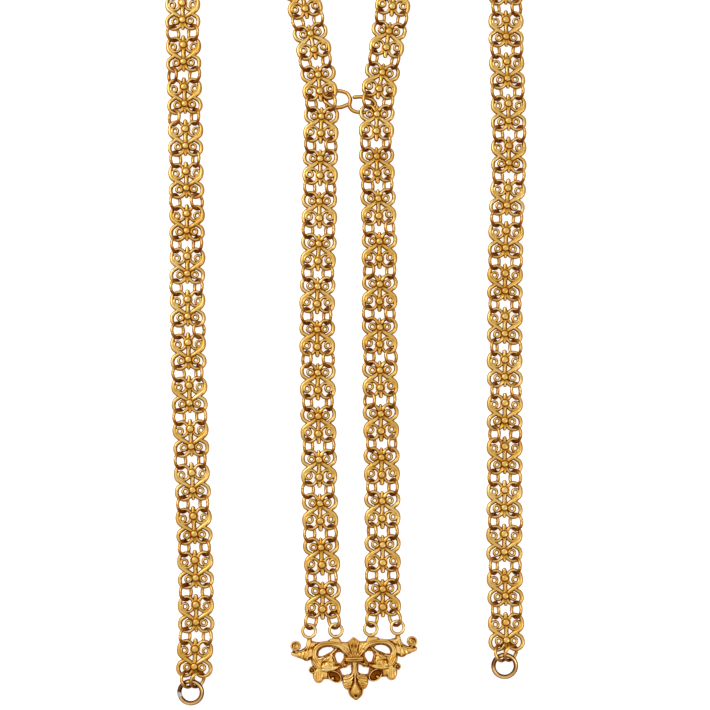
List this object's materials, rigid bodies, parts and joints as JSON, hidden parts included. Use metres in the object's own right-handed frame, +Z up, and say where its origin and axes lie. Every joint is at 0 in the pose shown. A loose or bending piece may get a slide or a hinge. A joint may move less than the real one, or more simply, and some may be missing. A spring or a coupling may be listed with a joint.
{
  "type": "clergy chain",
  "caption": "Gilt clergy chain lying flat: paired strands of pierced scroll plaques on jump rings, a cast crest at the front, an S-hook between the strands and a ring at each free end.",
  "frame": {"origin": "on the flat back of the crest, under the middle of its collar", "axes": "+Z up from the surface it lies on, out of the plaques' faces; +Y along the strands from the crest towards the neck; +X to the right as one looks at its face"},
  "size_m": [0.123, 0.3197, 0.0124],
  "materials": {
    "gilt_band": "polished gilt on cast pierced plaques, warm brown in the hollows",
    "gilt_casting": "polished gilt casting with chased relief, darker in the hollows",
    "gilt_wire": "polished gilt wire"
  },
  "bodies": {
    "root": {"chain_left_inner": "gilt_band", "chain_left_outer": "gilt_band", "chain_right_inner": "gilt_band", "chain_right_outer": "gilt_band", "pendant": "gilt_casting", "end_ring_left": "gilt_wire", "end_ring_right": "gilt_wire", "end_link_left_1": "gilt_wire", "end_link_left_2": "gilt_wire", "end_link_right_1": "gilt_wire", "end_link_right_2": "gilt_wire", "hook_link_left": "gilt_wire", "hook_link_right": "gilt_wire", "pendant_link_1": "gilt_wire", "pendant_link_2": "gilt_wire", "pendant_link_3": "gilt_wire", "pendant_link_4": "gilt_wire", "s_hook": "gilt_wire"}
  },
  "joints": []
}
